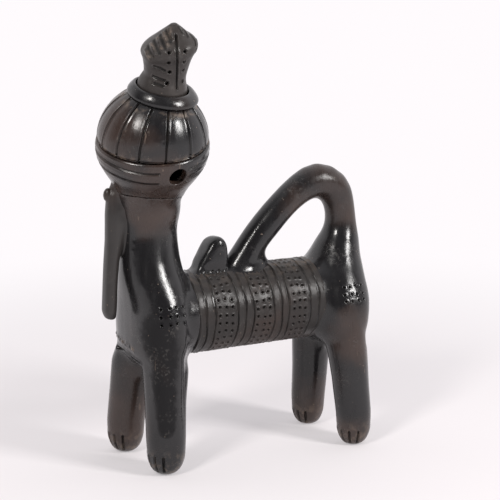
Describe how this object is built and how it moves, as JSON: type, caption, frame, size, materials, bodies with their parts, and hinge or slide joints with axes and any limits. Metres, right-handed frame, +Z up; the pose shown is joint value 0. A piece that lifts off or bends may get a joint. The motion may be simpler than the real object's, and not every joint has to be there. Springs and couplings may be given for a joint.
{
  "type": "animal-shaped pottery vessel",
  "caption": "Hollow animal-shaped pottery vessel on column legs: melon-ribbed ball head with a lift-off stopper, hanging trunk, ringed barrel body and a tail that forms a carrying handle.",
  "frame": {"origin": "on the ground under the middle of the whole object's box", "axes": "+X towards the head, +Y to the animal's left, +Z up"},
  "size_m": [0.2166, 0.1018, 0.3227],
  "materials": {
    "burnished_clay": "burnished black clay, semi-gloss",
    "stopper_clay": "burnished black clay, satin, dusty in its grooves"
  },
  "bodies": {
    "vessel": {"neck_and_chest": "burnished_clay", "barrel": "burnished_clay", "haunch": "burnished_clay", "front_left_leg": "burnished_clay", "front_right_leg": "burnished_clay", "rear_left_leg": "burnished_clay", "rear_right_leg": "burnished_clay", "tail_handle": "burnished_clay", "back_spur": "burnished_clay", "trunk": "burnished_clay", "trunk_boss": "burnished_clay", "head_bowl": "burnished_clay", "head_dome": "burnished_clay", "mouth_collar": "burnished_clay"},
    "stopper": {"stopper": "stopper_clay"}
  },
  "joints": [
    {"name": "stopper_lift", "type": "slide", "parent": "vessel", "child": "stopper", "axis": [-0.0523, 0.3086, 0.9498], "range_m": [0, 0.05]}
  ]
}
